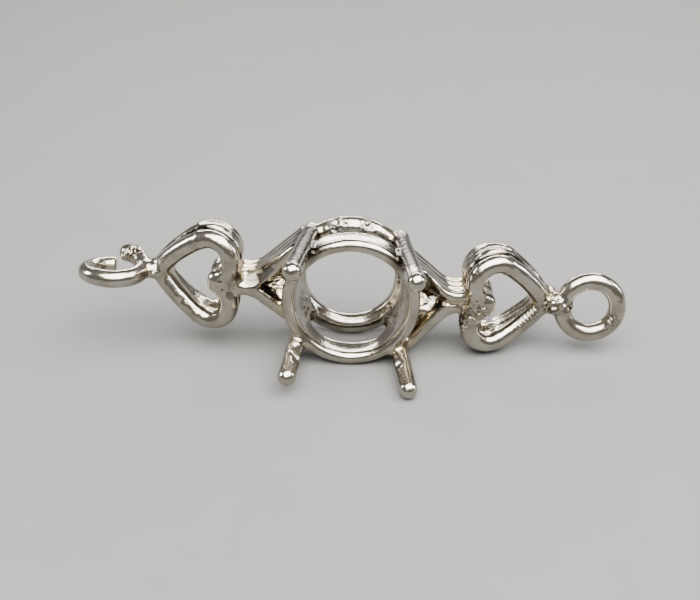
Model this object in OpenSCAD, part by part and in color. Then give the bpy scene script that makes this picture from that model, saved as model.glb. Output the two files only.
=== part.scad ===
// Bracelet link setting: a round basket of two rails and four prongs, with a forked
// shoulder, an open double-strand heart and an end ring on each side, cast in one piece.
// Lengths are in millimetres. The modules work in the link's own frame: X along the link,
// Y across it, and Z along the stone's axis from the back rail to the prong tips. The
// whole link then stands on its long edge, with the stone's axis towards -Y.

/* [Basket] */
// Diameter of the back rail's round wire
back_rail_wire = 1.4; // [1.3:0.05:1.45]
// Radius of the back rail's centre line
back_rail_r = 3.72; // [3.66:0.02:3.8]
// How far the back rail's centre lies towards the open ring
back_rail_shift = 0.15; // [0:0.05:0.2]
// Thickness of the front rail, which is a band with round edges
front_rail_t = 0.85; // [0.8:0.05:0.95]
// Depth of the front rail along the stone's axis
front_rail_h = 1.9; // [1.7:0.05:2]
// Radius of the front rail's centre line
front_rail_r = 4.16; // [4.1:0.02:4.2]
// Distance from the back rail to the front rail, between their middles
rail_rise = 3.4; // [3.3:0.05:3.5]
// Thickness of the wall between the rails
wall_t = 0.8; // [0.7:0.05:0.9]
// Height of the two curved windows in the wall, between the rails
window_h = 2.1; // [2.1:0.02:2.2]
// Angle from the middle of a window to the centre of its round end
window_half = 30; // [26:1:32]

/* [Prongs] */
// Diameter of a prong
prong_d = 1.2; // [1:0.05:1.3]
// Distance from the stone's axis to a prong's centre at its back end
prong_back_r = 4.25; // [4.1:0.05:4.35]
// Distance from the stone's axis to a prong's centre at its tip
prong_tip_r = 5.45; // [5.3:0.05:5.6]
// Height of the centre of a prong's rounded back end
prong_back_z = -0.15; // [-0.3:0.05:0]
// Height of the centre of a prong's rounded tip
prong_tip_z = 7.7; // [7.5:0.1:8]
// Diameter of the round stone that the prongs are notched for
stone_d = 10; // [9.8:0.1:10.2]
// Height of the stone's girdle
girdle_z = 5.75; // [5.6:0.05:5.9]
// Height of the filed flat on the inside of a prong
flat_h = 1.8; // [1.2:0.1:2.2]

/* [Shoulders] */
// Thickness of a shoulder arm
arm_t = 0.85; // [0.82:0.01:0.95]
// Height of the arms' back edge
arm_back_z = -0.25; // [-0.4:0.05:0]
// Height of the arms' front edge
arm_front_z = 2.95; // [2.8:0.05:3.2]
// Radius of the curve between an arm and the heart, at the back edge
arm_back_r = 1.55; // [1.45:0.05:1.7]
// Radius of the same curve at the front edge
arm_front_r = 1.3; // [1.25:0.05:1.4]
// Number of cast ribs along the outside of an arm
arm_ribs = 4; // [3:1:5]
// Height of a rib
rib_h = 0.1; // [0.05:0.01:0.12]
// Place along the link of the centre of that curve
arm_bend_x = 7.15; // [7:0.05:7.3]
// Half height of the neck where the two arms meet, at the back edge
neck_half = 0.45; // [0.4:0.01:0.47]
// Angle by which the right shoulder's fork is bent down from the neck
fork_bend = 7; // [0:1:8]

/* [Hearts] */
// Diameter of a heart's round front tube
heart_wire = 1.25; // [1.15:0.05:1.3]
// Radius of a lobe's centre line
lobe_r = 1.45; // [1.4:0.05:1.5]
// Distance from the stone's axis to the lobes' centres
lobe_x = 9.46; // [9.4:0.02:9.6]
// Distance from the link's middle line to a lobe's centre
lobe_y = 1.54; // [1.5:0.02:1.6]
// Distance from the stone's axis to a heart's point
point_x = 13.05; // [12.95:0.05:13.15]
// Radius of the long curve from a lobe to the heart's point
strand_r = 10; // [8:1:20]
// Height of the front tube over the lobes
front_tube_z = 2.4; // [2.3:0.05:2.5]
// Angle by which the front tube's plane falls towards the heart's point
tube_slope = 16; // [12:1:18]
// Width of the back band behind the front tube
band_w = 1.15; // [1:0.05:1.2]
// Height of the back edge of the left heart's band
left_band_z = 0.05; // [0:0.05:0.2]
// Height of the back edge of the right heart's band
right_band_z = -0.2; // [-0.3:0.05:0]
// Height of the front edge of both bands
band_front_z = 1.75; // [1.6:0.05:1.9]
// Diameter of the solder in the left heart's cleft
left_cleft_d = 1.45; // [1.3:0.05:1.6]
// Diameter of the solder in the right heart's cleft
right_cleft_d = 1.8; // [1.6:0.05:1.9]

/* [End rings] */
// Diameter of the wire of the end rings
ring_wire = 1.2; // [1.1:0.05:1.3]
// Radius of a ring's centre line
ring_r = 1.85; // [1.8:0.05:1.9]
// Distance from the stone's axis to the closed ring's centre
closed_ring_x = 16.1; // [16:0.05:16.2]
// Distance from the stone's axis to the open ring's centre
open_ring_x = 15.95; // [15.85:0.05:16.05]
// Height of the rings' centres
ring_z = 1.65; // [1.55:0.05:1.75]
// Angle by which the closed ring leans out of the hearts' plane
closed_ring_lean = 8; // [0:1:12]
// Angle by which the open ring's far side is sprung sideways
sprung_angle = 12.5; // [8:0.5:14]
// Angle from the open ring's root, round its front, to the cut
cut_angle = 263; // [260:1:270]
// Angle that the cut leaves open
cut_gap = 6; // [5:1:9]
// Diameter of the blunt end of the stub
stub_d = 1.28; // [1.24:0.01:1.36]

/* [Hidden] */
$fn = 96;

full_turn = 360;
half_turn = full_turn / 2;
quarter_turn = full_turn / 4;
// A ball end is this much wider than its rod, like a bead of cast metal
bead = 0.04;

// Direction in which an arm's bend ends inside the heart's lobe
arm_end = 312;
// Where an arm's bend begins, as a direction from its centre, and the length of the
// straight part from there to a prong. The left lower arm is flatter than the others.
ARM = [225, 3.5];
FLAT_ARM = [236, 2.6];
// Direction, from a lobe's centre, of the strand's end in the cleft
lobe_end = 250;
// Thickness and height of the web between the front tube and the band
web_t = 0.8;
web_h = 1.15;
// How much narrower the hearts' bands and the front rail are between their round edges
band_waist = 0.12;
rail_waist = 0.06;
// The casting pit: its diameter, its height and its direction from the stone's axis
pit_d = 0.4;
pit_z = 2.2;
pit_turn = -38;
// Angle left out of the long curve where it meets the lobe, under a rod that joins them
joint_gap = 0.2;
// Place of the cleft's solder along the link, and its back and front ends
cleft_x = 8.3;
cleft_z = [0.5, 2.4];
// The solder at the closed ring's root: its diameter and its two ends
root_d = 1.45;
root_back = [13.4, 0, 0.55];
root_front = [13.8, 0, 1.65];
// Angle by which the stub leans away from the sprung side
stub_lean = 7;
// Depth and height of the groove in the prongs' flats, and the flats' distance from
// the stone's axis
groove_depth = 0.3;
groove_h = 0.7;
flat_r = stone_d / 2 - groove_depth;

// A prong's corner of the basket, and how far its tip is bent along and across the link
PRONGS = [
    // side, across, bend_x, bend_y
    [1, 1, 0, 0],
    [-1, 1, 0, 0],
    [-1, -1, 0.13, 0.1],
    [1, -1, 0.28, -0.08],
];

// How far the stone's axis tips up when both rails touch the floor
rail_step = front_rail_r - back_rail_r;
rail_reach = rail_rise - (front_rail_h - front_rail_t) / 2;
stand_tip = acos((back_rail_wire - front_rail_t) / 2 / norm([rail_step, rail_reach]))
    - atan(rail_reach / rail_step);
stand_height = back_rail_r * cos(stand_tip) + back_rail_wire / 2;
// How far the link then rolls until the right lower prong's tip touches as well
prong_tip = [
    prong_tip_r / sqrt(2) + PRONGS[3][2],
    prong_tip_r / sqrt(2) - PRONGS[3][3],
];
tip_drop = (stand_height + prong_tip_z * sin(stand_tip) - (prong_d + bead) / 2)
    / cos(stand_tip);
stand_roll = asin(tip_drop / norm(prong_tip)) - atan(prong_tip.y / prong_tip.x);
// The middle of the standing link's box goes over the origin
reach_right = closed_ring_x * cos(stand_roll) + ring_r;
reach_left = (open_ring_x + ring_r) * cos(stand_roll);
reach_front = prong_tip_z * cos(stand_tip) + tip_drop * sin(stand_tip);
reach_back = prong_back_r * sin(stand_roll + half_turn / 4) * sin(stand_tip)
    - prong_back_z * cos(stand_tip);
stand_x = (reach_left - reach_right) / 2;
stand_y = (reach_front - reach_back) / 2;

// The strand from a lobe to the heart's point is a long arc that touches the lobe's arc.
// These are the direction where it leaves the lobe, its centre, and where it ends.
function strand_turn(reach) =
    acos((2 * strand_r * lobe_r - pow(lobe_r, 2) - pow(reach, 2) - pow(lobe_y, 2))
        / (2 * (strand_r - lobe_r) * norm([reach, lobe_y]))) - atan(lobe_y / reach);
function strand_centre(reach) =
    [0, lobe_y] - (strand_r - lobe_r) * [cos(strand_turn(reach)), sin(strand_turn(reach))];
function strand_end_turn(reach) = asin(-strand_centre(reach).y / strand_r);
// Place on a lobe's centre line in the direction that is given
function lobe_place(turn) = [lobe_x + lobe_r * cos(turn), lobe_y + lobe_r * sin(turn)];

// A round rod with ball ends between two points
module rod(from, to, d) {
    way = to - from;
    translate(from)
        rotate([0, acos(way.z / norm(way)), atan2(way.y, way.x)])
            cylinder(d = d, h = norm(way));
    for (end = [from, to])
        translate(end) sphere(d = d + bead);
}

module ring(r, wire) {
    rotate_extrude() translate([r, 0]) circle(d = wire);
}

// Part of a ring, from one direction to another
module ring_arc(r, wire, from, to) {
    rotate([0, 0, from])
        rotate_extrude(angle = to - from) translate([r, 0]) circle(d = wire);
}

// The shape and its mirror image across the link
module both_halves() {
    children();
    mirror([0, 1, 0]) children();
}

// Turns a shape from the link's plane into the plane of the stone's axis
module upright() {
    rotate([quarter_turn, 0, 0]) children();
}

module rails() {
    translate([-back_rail_shift, 0, 0]) ring(back_rail_r, back_rail_wire);
    edge = (front_rail_h - front_rail_t) / 2;
    for (z = [rail_rise - edge, rail_rise + edge])
        translate([0, 0, z]) ring(front_rail_r, front_rail_t);
    middle_t = front_rail_t - rail_waist;
    rotate_extrude()
        translate([front_rail_r - middle_t / 2, rail_rise - edge]) square([middle_t, 2 * edge]);
}

// Curved window between the rails, with round ends
module window() {
    middle_z = (back_rail_wire / 2 + rail_rise - front_rail_h / 2) / 2;
    translate([0, 0, middle_z]) {
        rotate([0, 0, -window_half])
            rotate_extrude(angle = 2 * window_half)
                translate([back_rail_r - wall_t, -window_h / 2])
                    square([2 * wall_t, window_h]);
        for (turn = [-window_half, window_half])
            rotate([0, quarter_turn, turn])
                cylinder(d = window_h, h = front_rail_r + wall_t);
    }
}

// Wall between the rails, with a window on each long side and a casting pit inside
module wall() {
    difference() {
        rotate_extrude()
            polygon([
                [back_rail_r - wall_t / 2, 0],
                [back_rail_r + wall_t / 2, 0],
                [front_rail_r + wall_t / 2, rail_rise],
                [front_rail_r - wall_t / 2, rail_rise],
            ]);
        for (turn = [-quarter_turn, quarter_turn])
            rotate([0, 0, turn]) window();
        translate([0, 0, pit_z])
            rotate([0, quarter_turn, pit_turn]) cylinder(d = pit_d, h = back_rail_r);
    }
}

module prong(side, across, bend_x, bend_y) {
    corner = [side, across] / norm([side, across]);
    back = corner * prong_back_r;
    tip = corner * prong_tip_r + [bend_x, bend_y];
    rod([back.x, back.y, prong_back_z], [tip.x, tip.y, prong_tip_z], prong_d);
}

// Space that is filed out of the prongs: a flat, and a groove for the stone's edge
module stone_seat() {
    translate([0, 0, girdle_z])
        rotate_extrude()
            polygon([
                [0, -flat_h / 2],
                [flat_r, -flat_h / 2],
                [flat_r, -groove_h / 2],
                [stone_d / 2, 0],
                [flat_r, groove_h / 2],
                [flat_r, flat_h / 2],
                [0, flat_h / 2],
            ]);
}

module basket() {
    rails();
    wall();
    difference() {
        for (p = PRONGS) prong(p[0], p[1], p[2], p[3]);
        stone_seat();
    }
}

// Section of a shoulder arm, measured from the centre of its bend: flat inside, and
// ribbed outside, so every second point is raised
module arm_section() {
    steps = 2 * arm_ribs;
    outside = [
        for (i = [0:steps])
            [
                arm_front_r + (arm_back_r - arm_front_r) * i / steps - rib_h * (i % 2),
                arm_front_z + (arm_back_z - arm_front_z) * i / steps,
            ]
    ];
    inside = [[arm_back_r + arm_t, arm_back_z], [arm_front_r + arm_t, arm_front_z]];
    polygon(concat(outside, inside));
}

// Arm from a prong to a heart's upper lobe: straight, and then bent round
module arm(form) {
    translate([arm_bend_x, neck_half + arm_back_r, 0])
        rotate([0, 0, form[0]]) {
            rotate_extrude(angle = arm_end - form[0]) arm_section();
            upright() linear_extrude(form[1]) arm_section();
        }
}

// Fork of an upper and a lower arm
module shoulder(lower_form) {
    arm(ARM);
    mirror([0, 1, 0]) arm(lower_form);
}

// Half of a heart's path, swept with the section that is given. Upright rods of the
// given width join its two curves and end it in the cleft.
module strand(reach, low, high, d) {
    turn = strand_turn(reach);
    end_turn = strand_end_turn(reach);
    translate([lobe_x, lobe_y, 0])
        rotate([0, 0, turn])
            rotate_extrude(angle = lobe_end - turn) translate([lobe_r, 0]) children();
    translate([lobe_x + strand_centre(reach).x, strand_centre(reach).y, 0])
        rotate([0, 0, end_turn])
            rotate_extrude(angle = turn - end_turn - joint_gap)
                translate([strand_r, 0]) children();
    for (place = [lobe_place(turn), lobe_place(lobe_end)])
        rod([place.x, place.y, low], [place.x, place.y, high], d);
}

// Round tube in front, in a plane that falls towards the heart's point, and the web
// that joins it to the band behind
module front_tube() {
    reach = (point_x - lobe_x) / cos(tube_slope);
    join_d = heart_wire + bead;
    translate([lobe_x, 0, front_tube_z])
        rotate([0, tube_slope, 0])
            translate([-lobe_x, 0, 0]) {
                both_halves()
                    strand(reach, -web_h, 0, join_d) {
                        circle(d = heart_wire);
                        translate([-web_t / 2, -web_h]) square([web_t, web_h]);
                    }
                rod([lobe_x + reach, 0, -web_h], [lobe_x + reach, 0, 0], join_d);
            }
}

// Deep band behind the tube, with round edges
module back_band(back_z) {
    low = back_z + band_w / 2;
    high = band_front_z - band_w / 2;
    middle_w = band_w - band_waist;
    join_d = band_w + bead;
    both_halves()
        strand(point_x - lobe_x, low, high, join_d) {
            translate([0, low]) circle(d = band_w);
            translate([0, high]) circle(d = band_w);
            translate([-middle_w / 2, low]) square([middle_w, high - low]);
        }
    rod([point_x, 0, low], [point_x, 0, high], join_d);
}

module heart(back_z, cleft_d) {
    front_tube();
    back_band(back_z);
    rod([cleft_x, 0, cleft_z[0]], [cleft_x, 0, cleft_z[1]], cleft_d);
}

module closed_ring() {
    translate([closed_ring_x, 0, ring_z])
        rotate([-closed_ring_lean, 0, 0]) ring(ring_r, ring_wire);
    rod(root_back, root_front, root_d);
}

// Ring that stands across the link. Its near quarter is true, the rest is sprung
// sideways up to the cut, and a stub with a blunt end stays at the root.
module open_ring() {
    stub_angle = cut_angle + cut_gap + atan(stub_d / 2 / ring_r);
    translate([-open_ring_x, 0, ring_z]) {
        upright() ring_arc(ring_r, ring_wire, 0, quarter_turn);
        translate([0, 0, ring_r])
            rotate([-sprung_angle, 0, 0])
                translate([0, 0, -ring_r])
                    upright() ring_arc(ring_r, ring_wire, quarter_turn, cut_angle);
        rotate([stub_lean, 0, 0])
            upright() {
                ring_arc(ring_r, ring_wire, stub_angle, full_turn);
                rotate([0, 0, stub_angle]) translate([ring_r, 0, 0]) sphere(d = stub_d);
            }
    }
    rod([-point_x, 0, ring_z - bead], [ring_r - open_ring_x, 0, ring_z], ring_wire);
}

// Stands the link on both rails and on the right lower prong's tip
module stand() {
    translate([stand_x, stand_y, stand_height])
        rotate([quarter_turn - stand_tip, 0, 0])
            rotate([0, 0, -stand_roll]) children();
}

module link_casting() {
    color("silver")
        stand() {
            basket();
            translate([arm_bend_x, 0, 0])
                rotate([0, 0, fork_bend])
                    translate([-arm_bend_x, 0, 0]) shoulder(ARM);
            heart(right_band_z, right_cleft_d);
            closed_ring();
            mirror([1, 0, 0]) {
                shoulder(FLAT_ARM);
                heart(left_band_z, left_cleft_d);
            }
            open_ring();
        }
}

link_casting();
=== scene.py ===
import math
import random
import bpy
import numpy as np
from mathutils import Matrix, Vector
from mathutils.bvhtree import BVHTree


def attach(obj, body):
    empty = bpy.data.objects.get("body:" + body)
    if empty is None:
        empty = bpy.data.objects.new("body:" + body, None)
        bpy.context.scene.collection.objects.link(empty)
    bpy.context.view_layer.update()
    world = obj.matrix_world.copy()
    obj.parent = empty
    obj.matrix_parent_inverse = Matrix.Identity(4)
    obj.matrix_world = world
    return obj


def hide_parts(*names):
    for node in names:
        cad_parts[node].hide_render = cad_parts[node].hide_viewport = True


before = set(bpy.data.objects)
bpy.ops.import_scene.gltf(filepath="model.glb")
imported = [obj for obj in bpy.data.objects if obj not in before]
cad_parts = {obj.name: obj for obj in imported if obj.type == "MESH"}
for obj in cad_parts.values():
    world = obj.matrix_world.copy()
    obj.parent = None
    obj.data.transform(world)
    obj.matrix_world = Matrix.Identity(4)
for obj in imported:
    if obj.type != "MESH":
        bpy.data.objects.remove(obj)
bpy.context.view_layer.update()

mm = 0.001
random.seed(7)

# How the link stands. Its forms are made in the link's own frame, in millimetres: X along
# the link, Y across it, Z along the stone's axis from the back rail to the prong tips.
stand = {
    "tip": 3.27574,  # degrees that the stone's axis tips up
    "roll": 4.42347,  # degrees towards the closed ring
    "place": (-0.07753, 3.79777, 4.41392),
}
linkFrame = (
    Matrix.Scale(mm, 4)
    @ Matrix.Translation(stand["place"])
    @ Matrix.Rotation(math.radians(90 - stand["tip"]), 4, "X")
    @ Matrix.Rotation(math.radians(-stand["roll"]), 4, "Z")
)


def deselectAll():
    if bpy.context.object and bpy.context.object.mode != "OBJECT":
        bpy.ops.object.mode_set(mode="OBJECT")
    bpy.ops.object.select_all(action="DESELECT")


def pick(*objects):
    # selects these objects only, the first one active
    deselectAll()
    for obj in objects:
        obj.select_set(True)
    bpy.context.view_layer.objects.active = objects[0]


def finishModifiers(obj):
    pick(obj)
    for modifier in list(obj.modifiers):
        bpy.ops.object.modifier_apply(modifier=modifier.name)


def applyPlace(obj):
    pick(obj)
    bpy.ops.object.transform_apply(location=True, rotation=True, scale=True)


def pointOutwards(obj):
    pick(obj)
    bpy.ops.object.mode_set(mode="EDIT")
    bpy.ops.mesh.select_all(action="SELECT")
    bpy.ops.mesh.normals_make_consistent(inside=False)
    bpy.ops.object.mode_set(mode="OBJECT")


def copyOf(obj):
    twin = obj.copy()
    twin.data = obj.data.copy()
    bpy.context.scene.collection.objects.link(twin)
    return twin


def placeInRow(obj):
    # from the link's own frame to the row's
    obj.matrix_world = linkFrame @ obj.matrix_world
    applyPlace(obj)
    return obj


def linkPlaces(mesh):
    # every vertex in the link's own frame, in millimetres
    flat = np.empty(len(mesh.vertices) * 3)
    mesh.vertices.foreach_get("co", flat)
    back = np.array(linkFrame.inverted())
    return flat.reshape(-1, 3) @ back[:3, :3].T + back[:3, 3]


def moveTo(mesh, places):
    # puts the vertices at places in the link's own frame
    turn = np.array(linkFrame)
    mesh.vertices.foreach_set("co", (places @ turn[:3, :3].T + turn[:3, 3]).ravel())
    mesh.update()


# The hearts' path, as in the CAD link: a lobe and a long arc to the point
heart = {
    "lobeX": 9.46,
    "lobeY": 1.54,
    "lobeRadius": 1.45,
    "strandRadius": 10.0,
    "pointX": 13.05,
    "bandWidth": 1.15,
}


def strandArc():
    # centre of the long arc, and its directions at the point and at the lobe
    reach = heart["pointX"] - heart["lobeX"]
    spare = heart["strandRadius"] - heart["lobeRadius"]
    high = heart["lobeY"]
    top = 2 * heart["strandRadius"] * heart["lobeRadius"] - heart["lobeRadius"] ** 2
    away = reach ** 2 + high ** 2
    turn = math.acos((top - away) / (2 * spare * math.sqrt(away))) - math.atan2(high, reach)
    centre = Vector((heart["lobeX"] - spare * math.cos(turn), high - spare * math.sin(turn), 0))
    endTurn = math.asin(-centre.y / heart["strandRadius"])
    return centre, endTurn, turn


def ramp(values, start, width):
    # rises from 0 at start to 1 one width further on, or downwards with a negative width
    return np.clip((values - start) / width, 0, 1)


def patchMask(places, patches):
    # each patch is full in its inner half and fades out at its radius
    mask = np.zeros(len(places))
    for place, radius, strength in patches:
        away = np.linalg.norm(places - np.array(place), axis=1) / radius
        fade = np.minimum(np.clip(1 - away, 0, 1) * 2, 1)
        mask = np.maximum(mask, strength * fade ** 1.5)
    return mask


# The casting starts as a copy of the CAD link, with soft fillets where its forms meet
casting = {
    "voxel": 0.109,  # face size while it is fused
    "softRounds": 26,  # how far the soft fillets reach
    "joinRounds": 2,  # smoothing once the ridges and beads are fused on
    "settleDrawn": 4,  # smoothing once the skin lies on the drawn shape
    "settleJoined": 3,  # and once it lies on the ridges and beads
    "filletFrom": 0.012,  # a face this far outside the drawn shape begins to be a fillet
    "filletFull": 0.035,
}

# Edges that the polishing wore round: place, radius and strength, in the link's own frame
wornPlaces = (
    ((-5.4, -1.7, 3.0), 2.4, 1.0),
    ((-5.4, 1.7, 3.0), 2.0, 0.9),
    ((5.5, 1.5, 3.0), 2.0, 0.9),
    ((5.3, -2.0, 3.0), 2.4, 1.0),
    ((-7.3, 0.0, 3.0), 1.3, 0.9),
    ((7.3, 0.0, 3.0), 1.3, 0.9),
)


def copyOfCad(nodeName, newName):
    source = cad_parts[nodeName]
    copy = copyOf(source)
    copy.name = newName
    applyPlace(copy)
    bpy.ops.object.mode_set(mode="EDIT")
    bpy.ops.mesh.select_all(action="SELECT")
    bpy.ops.mesh.remove_doubles(threshold=0.00001 * mm)
    bpy.ops.object.mode_set(mode="OBJECT")
    return copy


def fuse(obj, rounds):
    # makes one closed skin of all that the mesh holds, and smooths it
    skin = obj.modifiers.new("skin", "REMESH")
    skin.mode = "VOXEL"
    skin.voxel_size = casting["voxel"] * mm
    skin.use_smooth_shade = True
    soften = obj.modifiers.new("soften", "SMOOTH")
    soften.factor = 0.5
    soften.iterations = rounds
    finishModifiers(obj)


def ontoSurface(obj, target, rounds, groupName=""):
    # lays the skin on the target, which takes out the steps of the voxels
    back = obj.modifiers.new("ontoSurface", "SHRINKWRAP")
    back.target = target
    back.vertex_group = groupName
    back.wrap_method = "NEAREST_SURFACEPOINT"
    settle = obj.modifiers.new("settle", "SMOOTH")
    settle.factor = 0.5
    settle.iterations = rounds
    finishModifiers(obj)


def backOntoDrawing(obj, drawn):
    # outside the drawn shape lie the fillets, which stay; the rest goes back onto it
    tree = BVHTree.FromObject(drawn, bpy.context.evaluated_depsgraph_get())
    group = obj.vertex_groups.new(name="onDrawing")
    span = casting["filletFull"] - casting["filletFrom"]
    worn = patchMask(linkPlaces(obj.data), wornPlaces)
    for vertex in obj.data.vertices:
        place, normal, index, away = tree.find_nearest(vertex.co)
        outside = (vertex.co - place).dot(normal) / mm
        part = min(max((outside - casting["filletFrom"]) / span, worn[vertex.index]), 1)
        group.add([vertex.index], 1 - part, "REPLACE")
    ontoSurface(obj, drawn, casting["settleDrawn"], "onDrawing")
    obj.vertex_groups.clear()


# Thin plates of the casting that close each fork between its arms, behind the front edges
webs = {
    "middle": (4.95, -0.1, 1.4),
    "size": (1.85, 2.6, 0.6),  # along the link, along the slope, thickness
    "slope": -38,  # degrees, facing up and to the front
}


def addWebs():
    made = []
    for outer in (-1, 1):
        bpy.ops.mesh.primitive_cylinder_add(
            vertices=3, radius=1, depth=webs["size"][2], rotation=(0, 0, -outer * math.pi / 2),
        )
        web = bpy.context.object
        applyPlace(web)
        web.scale = (webs["size"][0], webs["size"][1], 1)
        applyPlace(web)
        web.rotation_euler = (math.radians(webs["slope"]), 0, 0)
        x, y, z = webs["middle"]
        web.location = (x * outer, y, z)
        applyPlace(web)
        made.append(placeInRow(web))
    return made


# The upper arms fall away behind their front edges. For each arm: how steeply, and its
# front edge from the neck to the prong
armEdges = {
    "left": (
        0.75,
        ((-7.9, -0.4), (-7.07, -0.26), (-5.96, 0.15), (-5.45, 0.6), (-5.0, 1.36), (-4.8, 2.6)),
    ),
    "right": (
        1.1,
        ((7.9, 0.3), (7.23, 0.22), (6.56, 0.26), (5.98, 0.66), (5.48, 1.48), (4.75, 2.67)),
    ),
}
# Where that slope comes in, each as the start and width of a ramp
armSlope = {
    "height": (1.2, 1.75),
    "offAxis": (4.75, 0.5),  # distance from the stone's axis
    "prong": (3.6, 3.4),
    "offProng": (1.0, 0.6),  # distance from the prong
    "neck": (7.75, -0.6),
    "beside": (1.3, -0.35),  # distance from the front edge
    "upperHalf": (-0.15, 0.3),
    "widest": 1.2,  # past this the slope runs level
}


def besideLine(places, line):
    # distance from a line in the hearts' plane, positive on its left
    nearest = np.full(len(places), 1e9)
    beside = np.zeros(len(places))
    for first, last in zip(line, line[1:]):
        first = np.array(first)
        way = np.array(last) - first
        length = np.hypot(*way)
        along = np.clip((places[:, :2] - first) @ way / length ** 2, 0, 1)
        off = places[:, :2] - first - along[:, None] * way
        away = np.hypot(off[:, 0], off[:, 1])
        side = way[0] * off[:, 1] - way[1] * off[:, 0]
        closer = away < nearest
        nearest[closer] = away[closer]
        beside[closer] = np.copysign(away, side)[closer]
    return beside


def slopeArms(obj):
    places = linkPlaces(obj.data)
    moved = places.copy()
    x, y, z = places.T
    prongX, prongY = armSlope["prong"]
    for steep, line in armEdges.values():
        outer = np.sign(line[0][0])
        beside = besideLine(places, line)
        fromProng = np.hypot(x - outer * prongX, y - prongY)
        share = ramp(z, *armSlope["height"])
        share *= ramp(np.hypot(x, y), *armSlope["offAxis"]) * ramp(fromProng, *armSlope["offProng"])
        share *= ramp(np.abs(x), *armSlope["neck"])
        share *= ramp(beside, *armSlope["beside"]) * ramp(y, *armSlope["upperHalf"])
        share *= (x * outer > 0) & (beside > 0)
        moved[:, 2] -= share * steep * np.minimum(beside, armSlope["widest"])
    moveTo(obj.data, moved)


# Cast ridges on the right heart: the shoulder's ribs run on round the outside of the upper
# lobe and sink into it, and more of them line the inside of the lower strand
ridges = {
    "lobeWire": 0.36,
    "lobeHeights": (0.12, 0.64, 1.2),
    "lobeOut": 0.1,  # how far they stand out at the neck
    "lobeShift": 0.075,  # moved towards the neck, so that they sink at the top
    "lobeFrom": 108,  # degrees round the lobe's centre
    "lobeTo": 216,
    "lobeSteps": 30,
    "strandWire": 0.46,
    "strandHeights": (0.2, 0.74, 1.28),
    "strandOut": 0.09,
    "strandShift": 5.0,  # and these sink at both ends
    "strandSteps": 12,
}


def sweptWire(centre, radius, wire, start, end, steps):
    # a wire bent round a centre, from one direction to another
    bpy.ops.mesh.primitive_circle_add(
        vertices=10, radius=wire / 2, fill_type="NGON",
        location=centre + radius * Vector((math.cos(start), math.sin(start), 0)),
        rotation=(math.pi / 2, 0, start),
    )
    swept = bpy.context.object
    bpy.ops.object.mode_set(mode="EDIT")
    bpy.ops.mesh.select_all(action="SELECT")
    # spin turns clockwise
    bpy.ops.mesh.spin(steps=steps, angle=start - end, center=centre, axis=(0, 0, 1))
    bpy.ops.object.mode_set(mode="OBJECT")
    applyPlace(swept)
    pointOutwards(swept)
    return swept


def addRidges():
    made = []
    start = math.radians(ridges["lobeFrom"])
    end = math.radians(ridges["lobeTo"])
    shift = ridges["lobeShift"]
    neck = Vector((math.cos(end), math.sin(end), 0)) * shift
    outside = heart["lobeRadius"] + heart["bandWidth"] / 2
    radius = outside + ridges["lobeOut"] - shift - ridges["lobeWire"] / 2
    for height in ridges["lobeHeights"]:
        centre = Vector((heart["lobeX"], heart["lobeY"], height)) + neck
        made.append(sweptWire(centre, radius, ridges["lobeWire"], start, end, ridges["lobeSteps"]))
    centre, endTurn, turn = strandArc()
    middle = (endTurn + turn) / 2
    shift = ridges["strandShift"]
    inside = heart["strandRadius"] - heart["bandWidth"] / 2
    radius = inside - ridges["strandOut"] + ridges["strandWire"] / 2
    half = (turn - endTurn) / 2 * radius / (radius + shift)
    away = Vector((math.cos(middle), math.sin(middle), 0)) * shift
    for height in ridges["strandHeights"]:
        ridge = sweptWire(
            centre - away + Vector((0, 0, height)), radius + shift, ridges["strandWire"],
            middle - half, middle + half, ridges["strandSteps"],
        )
        ridge.scale = (1, -1, 1)  # the lower strand mirrors the upper one
        applyPlace(ridge)
        pointOutwards(ridge)
        made.append(ridge)
    return made


def evenOut(mesh, values, rounds):
    # averages the values with their neighbours'
    ends = np.empty(len(mesh.edges) * 2, dtype=np.int64)
    mesh.edges.foreach_get("vertices", ends)
    first, second = ends.reshape(-1, 2).T
    count = np.bincount(first, minlength=len(values)) + np.bincount(second, minlength=len(values))
    for i in range(rounds):
        total = np.bincount(first, values[second], len(values))
        total += np.bincount(second, values[first], len(values))
        values = (values + total / np.maximum(count, 1)) / 2
    return values


# Groove between the front tube and the band, on the outside of each heart
groove = {
    "depth": 0.17,
    "width": 0.2,
    "tubeHeight": 2.4,  # of the tube's centre over the lobes
    "slope": 16,  # degrees that the tube falls towards the point
    "below": 0.77,  # the tube's centre
    "lastTurn": 216,  # degrees round the lobe's centre
    "lastFade": 0.35,  # radians that it takes to fade out there
    "outside": (0.2, 0.15),  # ramp, from the strand's centre line outwards
    "farthest": 0.9,  # and no skin past this, which is another strand's
    "point": (12.9, -0.5),  # ramp, towards the heart's point
}


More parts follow.
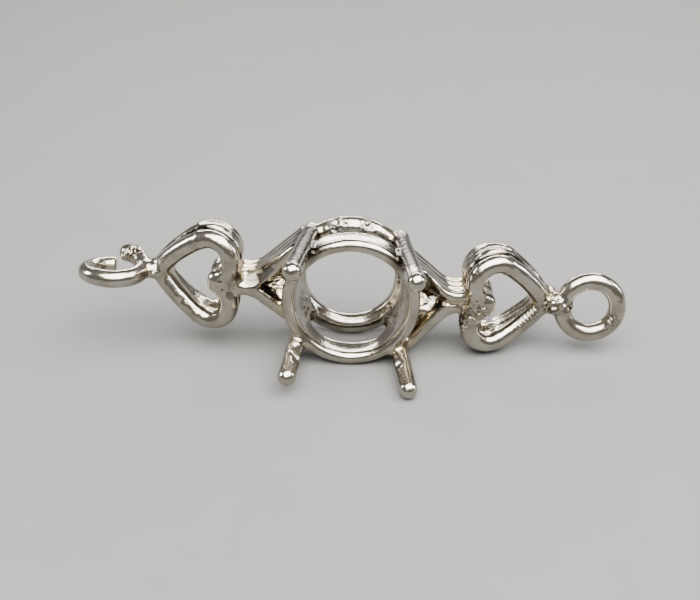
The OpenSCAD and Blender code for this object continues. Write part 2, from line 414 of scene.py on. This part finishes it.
def cutGrooves(obj):
    # presses the groove in along the hearts' path, and gives back how deep it is everywhere
    places = linkPlaces(obj.data)
    x, y, z = np.abs(places[:, 0]), np.abs(places[:, 1]), places[:, 2]
    centre, endTurn, turn = strandArc()
    lobe = np.stack([x - heart["lobeX"], y - heart["lobeY"]], 1)
    strand = np.stack([x - centre.x, y - centre.y], 1)
    lobeTurn = np.mod(np.arctan2(lobe[:, 1], lobe[:, 0]), math.tau)
    lastTurn = math.radians(groove["lastTurn"])
    onLobe = (lobeTurn > turn) & (lobeTurn < lastTurn)
    onStrand = ~onLobe & (x > heart["lobeX"]) & (np.arctan2(strand[:, 1], strand[:, 0]) < turn)
    out = np.where(onLobe[:, None], lobe, strand)
    length = np.hypot(out[:, 0], out[:, 1])
    offset = length - np.where(onLobe, heart["lobeRadius"], heart["strandRadius"])
    fall = (x - heart["lobeX"]) * math.tan(math.radians(groove["slope"]))
    height = z - (groove["tubeHeight"] - fall - groove["below"])
    weight = np.exp(-(height / groove["width"]) ** 2) * ramp(offset, *groove["outside"])
    weight *= (onLobe | onStrand) * ramp(x, *groove["point"]) * (offset < groove["farthest"])
    weight *= np.where(onLobe, ramp(lobeTurn, lastTurn, -groove["lastFade"]), 1)
    push = weight * groove["depth"] / length
    places[:, 0] -= push * out[:, 0] * np.sign(places[:, 0])
    places[:, 1] -= push * out[:, 1] * np.sign(places[:, 1])
    moveTo(obj.data, places)
    return evenOut(obj.data, weight, 1)


# Painted shade along the edges of the two curved windows between the rails, each as a ramp's start
# and width
windowEdgeShade = {
    "inner": (3.75, 0.2),  # from the stone's axis
    "outer": (4.6, -0.15),
    "low": (0.6, 0.25),
    "high": (2.65, -0.25),
    "end": (0.85, -0.2),  # radians from the window's middle
    "strength": 0.8,
}


def windowShadeMask(places):
    x, y, z = places.T
    away = np.hypot(x, y)
    turn = np.arctan2(np.abs(x), np.abs(y))
    mask = ramp(away, *windowEdgeShade["inner"]) * ramp(away, *windowEdgeShade["outer"])
    mask *= ramp(z, *windowEdgeShade["low"]) * ramp(z, *windowEdgeShade["high"])
    return mask * ramp(turn, *windowEdgeShade["end"]) * windowEdgeShade["strength"]


# Beads of solder on the skin: place, how far they spread, how many, and their size
solderBeads = {
    "rightCleft": ((8.25, -0.1, 3.1), 0.75, 46, 0.34),
    "rightCleftLow": ((7.8, -0.95, 3.1), 0.55, 34, 0.32),
    "rightPoint": ((13.5, 0.3, 2.1), 0.45, 14, 0.26),
    "rightRoot": ((14.15, 0.1, 2.1), 0.5, 18, 0.28),
    "leftCleft": ((-8.3, -0.1, 3.0), 0.5, 22, 0.3),
    "leftRoot": ((-13.4, 0.1, 2.1), 0.4, 12, 0.3),
    "stub": ((-14.85, 0.7, 0.25), 0.4, 12, 0.4),
}
# No two beads are alike: their sizes and their two flatter ways, as shares
beadShape = {
    "scatter": 0.5,
    "size": (0.6, 1.15),
    "wide": (0.6, 1),
    "high": (0.5, 0.9),
}


def addSolderBeads(obj):
    tree = BVHTree.FromObject(obj, bpy.context.evaluated_depsgraph_get())
    back = linkFrame.inverted()
    made = []
    for place, spread, count, size in solderBeads.values():
        for i in range(count):
            aside = Vector(random.gauss(0, spread * beadShape["scatter"]) for axis in range(3))
            onSkin = back @ tree.find_nearest(linkFrame @ (Vector(place) + aside))[0]
            bpy.ops.mesh.primitive_ico_sphere_add(
                subdivisions=2, radius=size / 2 * random.uniform(*beadShape["size"]),
                location=onSkin,
                rotation=(random.random() * math.tau, random.random() * math.tau, 0),
            )
            bead = bpy.context.object
            wide = random.uniform(*beadShape["wide"])
            bead.scale = (1, wide, random.uniform(*beadShape["high"]))
            made.append(bead)
    return made


# Pits, two in the left heart's lower strand and one in the closed ring: place and radius
pits = (
    ((-12.58, -0.62, 2.19), 0.17),
    ((-11.37, -1.78, 2.5), 0.2),
    ((17.45, -0.85, 2.42), 0.12),
)


def cutPits(obj):
    cutters = []
    for place, radius in pits:
        bpy.ops.mesh.primitive_ico_sphere_add(subdivisions=3, radius=radius, location=place)
        cutters.append(placeInRow(bpy.context.object))
    pick(*cutters)
    bpy.ops.object.join()
    cutter = bpy.context.object
    cut = obj.modifiers.new("pits", "BOOLEAN")
    cut.operation = "DIFFERENCE"
    cut.object = cutter
    cut.solver = "EXACT"
    finishModifiers(obj)
    bpy.data.objects.remove(cutter)


# Rough solder and grain, and the painted dark reflection on the upper prongs with darker streaks on
# the arms and necks, in the link's own frame: place, radius and strength
roughPlaces = (
    ((8.2, -0.4, 2.4), 1.5, 1.0),
    ((7.8, -1.3, 2.6), 1.1, 0.9),
    ((13.5, 0.1, 1.8), 1.2, 0.9),
    ((14.4, 0.0, 1.8), 0.9, 1.0),
    ((-8.4, 0.0, 2.3), 1.2, 0.8),
    ((-13.4, 0.1, 1.6), 0.9, 0.5),
    ((-14.9, 0.5, 0.35), 0.9, 1.0),
    ((-1.3, 3.8, 0.5), 1.1, 0.6),
    ((0.6, 3.95, 0.5), 0.8, 0.7),
    ((-6.3, -0.8, 2.2), 1.2, 0.3),
    ((6.3, -0.7, 1.8), 1.1, 0.5),
    ((3.1, 3.1, 0.2), 1.1, 0.35),
    ((-3.1, 3.1, 0.2), 1.0, 0.3),
    ((-3.4, -1.6, 1.6), 1.5, 0.4),
    ((3.4, -1.6, 1.6), 1.5, 0.4),
    ((4.1, -4.0, 7.6), 0.8, 0.3),
    ((-3.75, -3.75, 7.6), 0.8, 0.3),
    ((17.5, -0.9, 2.3), 0.6, 0.4),
    ((-5.2, -0.2, 1.5), 1.3, 0.4),
    ((5.2, -0.2, 1.5), 1.3, 0.4),
)
# painted dark reflection on the upper prongs' shafts, and darker streaks on the arms, the left neck
# and the right cleft
paintedReflectionAndStreakMaskPlaces = (
    ((-3.3, 3.6, 1.2), 1.3, 0.8),
    ((-3.3, 3.8, 2.6), 1.7, 0.85),
    ((-3.4, 3.9, 4.0), 1.7, 0.85),
    ((-3.5, 4.0, 5.4), 1.7, 0.8),
    ((-3.6, 4.1, 6.6), 1.2, 0.8),
    ((3.3, 3.6, 1.2), 1.3, 0.9),
    ((3.3, 3.8, 2.6), 1.7, 0.85),
    ((3.4, 3.9, 4.0), 1.7, 0.85),
    ((3.5, 4.0, 5.4), 1.7, 0.8),
    ((4.9, 1.5, 2.3), 0.8, 0.6),
    ((5.5, 0.7, 2.3), 0.8, 0.7),
    ((6.1, 0.1, 2.3), 0.6, 0.5),
    ((8.1, -0.9, 2.2), 1.3, 0.3),
    ((-6.6, 0.3, 2.4), 1.0, 0.58),
    ((-5.6, 1.2, 2.0), 0.9, 0.4),
    ((6.3, 1.3, 1.0), 1.0, 0.35),
)

# Places kept free of tarnish, warm tint and painted recess shade though they are closed in
openPlaces = (
    ((-5.5, -0.8, 1.8), 1.5, 0.8),
    ((5.7, -0.7, 1.8), 1.5, 0.7),
    ((9.6, -1.8, 1.0), 1.8, 0.5),
    ((-9.6, -1.8, 1.0), 1.8, 0.5),
)

# File marks across the right heart's lower strand and the closed ring
markedPlaces = (
    ((11.7, -1.4, 2.4), 0.75, 0.8),
    ((12.3, -0.75, 2.3), 0.75, 1.0),
    ((17.76, -0.68, 2.3), 0.6, 1.0),
)

# Relief of the cast skin: texture, size of the pattern and height in millimetres
relief = {
    "polishedWave": ("CLOUDS", "openSkin", 1.5, 0.05),
    "lumps": ("CLOUDS", "roughPatch", 0.4, 0.34),
    "grain": ("VORONOI", "roughPatch", 0.28, 0.34),
}
# Hand polishing left the hearts and rings more uneven than the basket and prongs: a ramp
# along the link, and the least share of the wave
openSkinRamp = (4.5, 2.5)
openSkinLeast = 0.2


def addRelief(obj, places, rough):
    openSkin = np.maximum(ramp(np.abs(places[:, 0]), *openSkinRamp), openSkinLeast)
    for name, weights in (("roughPatch", rough), ("openSkin", openSkin)):
        group = obj.vertex_groups.new(name=name)
        for index in np.nonzero(weights > 0.01)[0]:
            group.add([int(index)], float(weights[index]), "REPLACE")
    for name, (kind, groupName, size, height) in relief.items():
        pattern = bpy.data.textures.new(name, kind)
        pattern.noise_scale = size * mm
        push = obj.modifiers.new(name, "DISPLACE")
        push.texture = pattern
        push.texture_coords = "LOCAL"
        push.strength = height * mm
        push.mid_level = 0.5
        push.vertex_group = groupName
    finishModifiers(obj)
    obj.vertex_groups.clear()


def crestOf(mesh):
    # how sharply the skin bends round each point: high on ridges, below 0 in hollows
    flat = np.empty(len(mesh.vertices) * 3)
    mesh.vertices.foreach_get("co", flat)
    places = flat.reshape(-1, 3) / mm
    mesh.vertex_normals.foreach_get("vector", flat)
    normals = flat.reshape(-1, 3)
    ends = np.empty(len(mesh.edges) * 2, dtype=np.int64)
    mesh.edges.foreach_get("vertices", ends)
    first, second = ends.reshape(-1, 2).T
    way = places[second] - places[first]
    length = np.maximum((way ** 2).sum(1), 1e-6)
    bend = np.bincount(first, -(normals[first] * way).sum(1) / length, len(places))
    bend += np.bincount(second, (normals[second] * way).sum(1) / length, len(places))
    count = np.bincount(first, minlength=len(places)) + np.bincount(second, minlength=len(places))
    return evenOut(mesh, bend / np.maximum(count, 1), 4)


# Rays that feel how closed in each point is: their reach in millimetres, how many, and how
# far they spread, 1 being down to the skin
feelers = {"reach": 1.6, "rays": 16, "spread": 0.85, "offSkin": 0.02}


def recessOf(obj):
    # from 0 in the open to 1 in a deep corner
    reach, rays = feelers["reach"] * mm, feelers["rays"]
    tree = BVHTree.FromObject(obj, bpy.context.evaluated_depsgraph_get())
    golden = math.pi * (3 - math.sqrt(5))  # this turn from ray to ray spreads them evenly
    aims = []
    for i in range(rays):
        up = 1 - (i + 0.5) / rays * feelers["spread"]
        side = math.sqrt(1 - up * up)
        aims.append(Vector((math.cos(golden * i) * side, math.sin(golden * i) * side, up)))
    closed = np.zeros(len(obj.data.vertices))
    for vertex in obj.data.vertices:
        turn = vertex.normal.to_track_quat("Z", "Y")
        start = vertex.co + vertex.normal * feelers["offSkin"] * mm
        hits = 0.0
        for aim in aims:
            place, normal, index, away = tree.ray_cast(start, turn @ aim, reach)
            if place is not None:
                hits += 1 - away / reach
        closed[vertex.index] = hits / rays
    return evenOut(obj.data, closed, 2)


def keepAttribute(obj, name, values):
    layer = obj.data.attributes.new(name, "FLOAT", "POINT")
    layer.data.foreach_set("value", np.asarray(values, dtype=np.float32))


link = copyOfCad("link_casting", "cast_link")
cutPits(link)
drawing = copyOf(link)
pick(link, *addWebs())
bpy.ops.object.join()
fuse(link, casting["softRounds"])
backOntoDrawing(link, drawing)
slopeArms(link)
bpy.data.objects.remove(drawing)
print("stage: casting", len(link.data.polygons))
extras = [placeInRow(extra) for extra in addRidges() + addSolderBeads(link)]
pick(link, *extras)
bpy.ops.object.join()
joined = copyOf(link)
fuse(link, casting["joinRounds"])
ontoSurface(link, joined, casting["settleJoined"])
bpy.data.objects.remove(joined)
print("stage: ridges and solder", len(link.data.polygons))
# the groove's depth also says where its painted shade goes
grooveShadeMask = cutGrooves(link)
linkSpots = linkPlaces(link.data)
roughMask = patchMask(linkSpots, roughPlaces)
addRelief(link, linkSpots, roughMask)
keepAttribute(link, "rough", roughMask)
# mask of the painted dark reflection on the upper prongs and the darker streaks
keepAttribute(link, "paintedReflectionAndStreakMask", patchMask(linkSpots, paintedReflectionAndStreakMaskPlaces))
# how sharply the skin bends: for the painted highlight on crests and the painted shade in hollows
keepAttribute(link, "crest", crestOf(link.data))
# how closed in each point is, for the warm tint, the tarnish and the painted shade in deep
# recesses; lower in the open places
keepAttribute(link, "recess", recessOf(link) * (1 - patchMask(linkSpots, openPlaces)))
keepAttribute(link, "marked", patchMask(linkSpots, markedPlaces))
# painted shade in the grooves and along the window edges
keepAttribute(link, "groove", np.maximum(grooveShadeMask, windowShadeMask(linkSpots)))
pick(link)
bpy.ops.object.shade_smooth()
print("stage: relief and masks")

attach(link, "root")
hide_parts("link_casting")

# Sizes of the noise patterns, as repeats per metre
patterns = {
    "castGrain": 5200,
    "fineGrain": 14000,
    "scratches": 9000,
    "cloud": 900,
    "fileWander": 1500,
    "film": 1500,
    "paintedReflectionAndStreaks": 700,
    "skin": 2400,
    "paper": 300,
}


def newGroup(name, inputs, outputs):
    group = bpy.data.node_groups.new(name, "ShaderNodeTree")
    for socketName, kind, value in inputs:
        socket = group.interface.new_socket(socketName, in_out="INPUT", socket_type=kind)
        socket.default_value = value
    for socketName in outputs:
        group.interface.new_socket(socketName, in_out="OUTPUT", socket_type="NodeSocketFloat")
    return group, group.nodes.new("NodeGroupInput"), group.nodes.new("NodeGroupOutput")


def join(tree, value, socket):
    # a number or colour is set on the socket, and anything else is linked to it
    if isinstance(value, (int, float, tuple)):
        socket.default_value = value
    else:
        tree.links.new(value, socket)


def newNoise(tree, scale, detail, vector):
    noise = tree.nodes.new("ShaderNodeTexNoise")
    join(tree, scale, noise.inputs["Scale"])
    noise.inputs["Detail"].default_value = detail
    tree.links.new(vector, noise.inputs["Vector"])
    return noise.outputs["Fac"]


def newMath(tree, operation, *values):
    node = tree.nodes.new("ShaderNodeMath")
    node.operation = operation
    for socket, value in zip(node.inputs, values):
        join(tree, value, socket)
    return node.outputs[0]


def newRange(tree, value, fromLow, fromHigh, toLow=0.0, toHigh=1.0):
    node = tree.nodes.new("ShaderNodeMapRange")
    for name, number in (
        ("Value", value), ("From Min", fromLow), ("From Max", fromHigh),
        ("To Min", toLow), ("To Max", toHigh),
    ):
        join(tree, number, node.inputs[name])
    return node.outputs["Result"]


def newMix(tree, factor, first, second):
    node = tree.nodes.new("ShaderNodeMix")
    node.data_type = "RGBA"
    join(tree, factor, node.inputs["Factor"])
    # the colour sockets are the mix node's last pair
    join(tree, first, node.inputs[6])
    join(tree, second, node.inputs[7])
    return node.outputs[2]


def castGrainGroup():
    # cast grain, strong where the mask is: its height, and painted shade in specks between the
    # grains
    group, start, end = newGroup(
        "castGrain",
        (("Vector", "NodeSocketVector", (0, 0, 0)), ("Mask", "NodeSocketFloat", 0)),
        ("Height", "PaintedShadeSpecks"),
    )
    vector, mask = start.outputs["Vector"], start.outputs["Mask"]
    coarse = newNoise(group, patterns["castGrain"], 3, vector)
    fine = newNoise(group, patterns["fineGrain"], 2, vector)
    height = newMath(group, "MULTIPLY_ADD", fine, 0.5, coarse)  # the fine grain at half height
    join(group, newMath(group, "MULTIPLY", height, mask), end.inputs["Height"])
    specks = newRange(group, coarse, 0.58, 0.46)  # painted shade in the low spots of the coarse grain
    join(group, newMath(group, "MULTIPLY", specks, mask), end.inputs["PaintedShadeSpecks"])
    return group


def handPolishGroup():
    # hand polish: fine scratches, and a soft cloudiness
    group, start, end = newGroup(
        "handPolish", (("Vector", "NodeSocketVector", (0, 0, 0)),), ("Scratches", "Cloud"),
    )
    vector = start.outputs["Vector"]
    stretch = group.nodes.new("ShaderNodeMapping")
    stretch.inputs["Scale"].default_value = (0.12, 1, 1)  # draws the noise out into lines
    stretch.inputs["Rotation"].default_value = (0.3, 0.5, 0.2)
    join(group, vector, stretch.inputs["Vector"])
    lines = newNoise(group, patterns["scratches"], 2, stretch.outputs["Vector"])
    join(group, newRange(group, lines, 0.45, 0.6), end.inputs["Scratches"])
    cloud = newNoise(group, patterns["cloud"], 4, vector)
    join(group, newRange(group, cloud, 0.35, 0.7), end.inputs["Cloud"])
    return group


fileStrokes = {
    "along": (0.678, 0.042, 0.734),  # the direction of the strand that the marks cross
    "pitch": 26000,  # radians of the wave per metre
    "wander": 9,  # radians that noise shifts it
    "thin": 0.35,  # the wave counts above this
}


def fileMarksGroup():
    # thin file marks across a strand, where the mask is
    group, start, end = newGroup(
        "fileMarks",
        (("Vector", "NodeSocketVector", (0, 0, 0)), ("Mask", "NodeSocketFloat", 0)),
        ("Marks",),
    )
    along = group.nodes.new("ShaderNodeVectorMath")
    along.operation = "DOT_PRODUCT"
    along.inputs[1].default_value = fileStrokes["along"]
    join(group, start.outputs["Vector"], along.inputs[0])
    wander = newNoise(group, patterns["fileWander"], 3, start.outputs["Vector"])
    wander = newMath(group, "MULTIPLY", wander, fileStrokes["wander"])
    turns = newMath(
        group, "MULTIPLY_ADD", along.outputs["Value"], fileStrokes["pitch"], wander,
    )
    wave = newRange(group, newMath(group, "SINE", turns), fileStrokes["thin"], 1.0)
    join(group, newMath(group, "MULTIPLY", wave, start.outputs["Mask"]), end.inputs["Marks"])
    return group


def filmGroup():
    # a film that gathers where a mask is high, with a broken edge; it serves the tarnish, the
    # painted shade in deep recesses and the painted dark reflection with darker streaks
    group, start, end = newGroup(
        "tarnishAndPaintedLightFilm",
        (
            ("Vector", "NodeSocketVector", (0, 0, 0)),
            ("Mask", "NodeSocketFloat", 0),
            ("Begins", "NodeSocketFloat", 0.2),
            ("Full", "NodeSocketFloat", 0.6),
            ("Pattern", "NodeSocketFloat", patterns["film"]),
        ),
        ("Film",),
    )
    patch = newNoise(group, start.outputs["Pattern"], 5, start.outputs["Vector"])
    uneven = newMath(group, "MULTIPLY_ADD", patch, 0.4, -0.2)  # moves the mask's edge both ways
    film = newRange(
        group, newMath(group, "ADD", start.outputs["Mask"], uneven),
        start.outputs["Begins"], start.outputs["Full"],
    )
    join(group, film, end.inputs["Film"])
    return group


castGrain = castGrainGroup()
handPolish = handPolishGroup()
tarnishAndPaintedLightFilm = filmGroup()
fileMarks = fileMarksGroup()

silverLook = {
    "clean": (0.39, 0.362, 0.308, 1),
    "cloudy": (0.25, 0.227, 0.183, 1),
    "warm": (0.47, 0.385, 0.25, 1),
    # crests are worn clean, and painted lighter than the clean metal as painted highlight
    "crest": (0.8, 0.77, 0.71, 1),
    # painted dark reflection on the upper prongs, also the colour of the darker streaks
    "paintedReflectionAndStreaks": (0.024, 0.019, 0.014, 1),
    "tarnish": (0.13, 0.095, 0.058, 1),
    # painted shade: the near black of deep recesses, hollows, grooves, window edges and the grain's
    # low spots; the file marks are darkened with it too
    "paintedShade": (0.009, 0.007, 0.005, 1),
    "roughness": (0.12, 0.22),  # polished and cloudy
    "solderRoughness": 0.06,  # added on the solder
    "filmRoughness": 0.12,  # added under tarnish
    # where each look begins on its mask and where it is full
    "paintedReflectionAndStreaksRange": (0.1, 0.78),
    "tarnishRange": (0.22, 0.7),
    "paintedShadeRange": (0.5, 0.85),
    "crestRange": (1.1, 3.2),
    "hollowShadeRange": (-0.6, -2.2),
    "grooveRange": (0.1, 0.65),
    "warmRange": (0.04, 0.22),
    # and how strong it is there
    "hollowShadeShare": 0.6,
    "markShare": 0.6,
    "warmShare": 0.8,
    "crestHighlightShare": 0.7,
    # heights in the bump
    "scratchHeight": 0.05,
    "markHeight": -0.5,
    "skinHeight": 0.22,
    "bumpStrength": 0.5,
    "bumpDistance": 0.00009,  # metres
}


def placeGroup(tree, group, **values):
    # one use of a shader group, with its inputs set or linked
    node = tree.nodes.new("ShaderNodeGroup")
    node.node_tree = group
    for name, value in values.items():
        join(tree, value, node.inputs[name])
    return node.outputs


def silverMaterial():
    material = bpy.data.materials.new("polishedSilver")
    material.use_nodes = True
    tree = material.node_tree
    shader = tree.nodes["Principled BSDF"]
    place = tree.nodes.new("ShaderNodeTexCoord").outputs["Object"]
    masks = {}
    for name in ("rough", "paintedReflectionAndStreakMask", "crest", "recess", "marked", "groove"):
        node = tree.nodes.new("ShaderNodeAttribute")
        node.attribute_name = name
        masks[name] = node.outputs["Fac"]
    grain = placeGroup(tree, castGrain, Vector=place, Mask=masks["rough"])
    polish = placeGroup(tree, handPolish, Vector=place)
    films = {}
    # films in turn: the painted dark reflection with darker streaks, the tarnish, and painted shade
    # in deep recesses
    for name, mask, pattern in (
        ("paintedReflectionAndStreaks", "paintedReflectionAndStreakMask", "paintedReflectionAndStreaks"), ("tarnish", "recess", "film"), ("paintedShade", "recess", "film"),
    ):
        begins, full = silverLook[name + "Range"]
        films[name] = placeGroup(
            tree, tarnishAndPaintedLightFilm, Vector=place, Mask=masks[mask], Begins=begins, Full=full,
            Pattern=patterns[pattern],
        )["Film"]
    # painted highlight on crests, painted shade in hollows
    crest = newRange(tree, masks["crest"], *silverLook["crestRange"])
    hollowShade = newRange(tree, masks["crest"], *silverLook["hollowShadeRange"])
    marks = placeGroup(tree, fileMarks, Vector=place, Mask=masks["marked"])["Marks"]
    # painted shade, all in one: deep recesses, the grain's low spots, hollows, the grooves and the
    # window edges; the file marks are darkened with them
    dark = newMath(tree, "MAXIMUM", films["paintedShade"], grain["PaintedShadeSpecks"])
    for more in (
        newMath(tree, "MULTIPLY", hollowShade, silverLook["hollowShadeShare"]),
        newMath(tree, "MULTIPLY", marks, silverLook["markShare"]),
        newRange(tree, masks["groove"], *silverLook["grooveRange"]),
    ):
        dark = newMath(tree, "MAXIMUM", dark, more)

    colour = newMix(tree, polish["Cloud"], silverLook["clean"], silverLook["cloudy"])
    warm = newRange(tree, masks["recess"], *silverLook["warmRange"])
    # in turn: warm tint and tarnish in recesses, painted highlight on crests, the painted dark
    # reflection with darker streaks, and painted shade
    for share, name in (
        (newMath(tree, "MULTIPLY", warm, silverLook["warmShare"]), "warm"),
        (films["tarnish"], "tarnish"),
        (newMath(tree, "MULTIPLY", crest, silverLook["crestHighlightShare"]), "crest"),
        (films["paintedReflectionAndStreaks"], "paintedReflectionAndStreaks"),
        (dark, "paintedShade"),
    ):
        colour = newMix(tree, share, colour, silverLook[name])
    join(tree, colour, shader.inputs["Base Color"])

    polished, cloudy = silverLook["roughness"]
    roughness = newRange(tree, polish["Cloud"], 0, 1, polished, cloudy)
    solder = newMath(tree, "MULTIPLY_ADD", masks["rough"], silverLook["solderRoughness"], roughness)
    filmed = newMath(
        tree, "MULTIPLY_ADD", films["tarnish"], silverLook["filmRoughness"], solder,
    )
    join(tree, filmed, shader.inputs["Roughness"])

    height = grain["Height"]
    for layer, share in (
        (polish["Scratches"], "scratchHeight"),
        (marks, "markHeight"),
        (newNoise(tree, patterns["skin"], 3, place), "skinHeight"),
    ):
        height = newMath(tree, "MULTIPLY_ADD", layer, silverLook[share], height)
    bump = tree.nodes.new("ShaderNodeBump")
    bump.inputs["Strength"].default_value = silverLook["bumpStrength"]
    bump.inputs["Distance"].default_value = silverLook["bumpDistance"]
    join(tree, height, bump.inputs["Height"])
    join(tree, bump.outputs["Normal"], shader.inputs["Normal"])
    shader.inputs["Metallic"].default_value = 1
    return material


link.data.materials.clear()
link.data.materials.append(silverMaterial())
print("stage: silver")

# The photograph's viewing angle
view = {
    "aim": Vector((-0.221, 2.923, 2.986)) * mm,
    "azimuth": math.radians(1.628),
    "elevation": math.radians(31.375),
    "roll": math.radians(-0.156),
    "distance": 82.19 * mm,
    "focal": 61.71,
    "sensor": 36,
}


def addCamera():
    toCamera = Vector((
        math.sin(view["azimuth"]) * math.cos(view["elevation"]),
        -math.cos(view["azimuth"]) * math.cos(view["elevation"]),
        math.sin(view["elevation"]),
    ))
    cameraData = bpy.data.cameras.new("photoCamera")
    cameraData.lens = view["focal"]
    cameraData.sensor_width = view["sensor"]
    cameraData.clip_start = mm
    camera = bpy.data.objects.new("photoCamera", cameraData)
    bpy.context.scene.collection.objects.link(camera)
    turn = (-toCamera).to_track_quat("-Z", "Y").to_matrix().to_4x4()
    turn = turn @ Matrix.Rotation(-view["roll"], 4, "Z")
    camera.matrix_world = Matrix.Translation(view["aim"] + toCamera * view["distance"]) @ turn
    bpy.context.scene.camera = camera


addCamera()

# Plain pale floor, whose far part glows as painted light
floorLook = {
    "size": 1.6,
    "pale": (0.1, 0.099, 0.0965, 1),
    "paler": (0.109, 0.108, 0.1045, 1),
    "far": (0.86, 0.852, 0.83, 1),  # painted light: the far floor glows this pale, for the camera only, where the soft boxes no longer reach it
    "farRange": (0.1, 0.26),  # metres from the link
    "roughness": 0.6,
    "gloss": 0.1,
}
black = (0, 0, 0, 1)


def addFloor():
    bpy.ops.mesh.primitive_plane_add(size=floorLook["size"])
    floor = bpy.context.object
    floor.name = "studio_floor"
    paper = bpy.data.materials.new("palePaperFarGlow")
    paper.use_nodes = True
    tree = paper.node_tree
    shader = tree.nodes["Principled BSDF"]
    place = tree.nodes.new("ShaderNodeTexCoord").outputs["Object"]
    grain = newNoise(tree, patterns["paper"], 3, place)
    colour = newMix(tree, grain, floorLook["pale"], floorLook["paler"])
    away = tree.nodes.new("ShaderNodeVectorMath")
    away.operation = "LENGTH"
    join(tree, place, away.inputs[0])
    # painted light: the far floor glows pale to the eye and is black to the metal, which keeps its
    # contrast
    far = newRange(tree, away.outputs["Value"], *floorLook["farRange"])
    seen = tree.nodes.new("ShaderNodeLightPath").outputs["Is Camera Ray"]
    far = newMath(tree, "MULTIPLY", far, seen)
    join(tree, newMix(tree, far, colour, black), shader.inputs["Base Color"])
    join(tree, newMix(tree, far, black, floorLook["far"]), shader.inputs["Emission Color"])
    shader.inputs["Emission Strength"].default_value = 1
    shader.inputs["Roughness"].default_value = floorLook["roughness"]
    shader.inputs["Specular IOR Level"].default_value = floorLook["gloss"]
    floor.data.materials.append(paper)


addFloor()

# Soft studio light: place, width and height in millimetres, power, colour
softBoxes = {
    "topBox": ((22, -38, 124), 220, 140, 2.1, (1.0, 0.99, 0.97)),
    "leftBox": ((-150, 20, 70), 40, 60, 0.3, (0.93, 0.96, 1.0)),
    "rightBox": ((150, 30, 60), 30, 60, 0.22, (0.86, 0.9, 1.0)),
    "backBox": ((0, 160, 60), 160, 24, 0.3, (1.0, 0.97, 0.92)),
}


def addSoftBoxes():
    for name, (place, width, height, power, colour) in softBoxes.items():
        lightData = bpy.data.lights.new(name, "AREA")
        lightData.shape = "RECTANGLE"
        lightData.size = width * mm
        lightData.size_y = height * mm
        lightData.energy = power
        lightData.color = colour
        light = bpy.data.objects.new(name, lightData)
        bpy.context.scene.collection.objects.link(light)
        spot = Vector(place) * mm
        turn = (view["aim"] - spot).to_track_quat("-Z", "Y").to_matrix().to_4x4()
        light.matrix_world = Matrix.Translation(spot) @ turn


addSoftBoxes()

roomColour = (0.33, 0.322, 0.31, 1)
world = bpy.data.worlds.new("studioWorld")
world.use_nodes = True
world.node_tree.nodes["Background"].inputs["Color"].default_value = roomColour
bpy.context.scene.world = world
print("stage: studio")
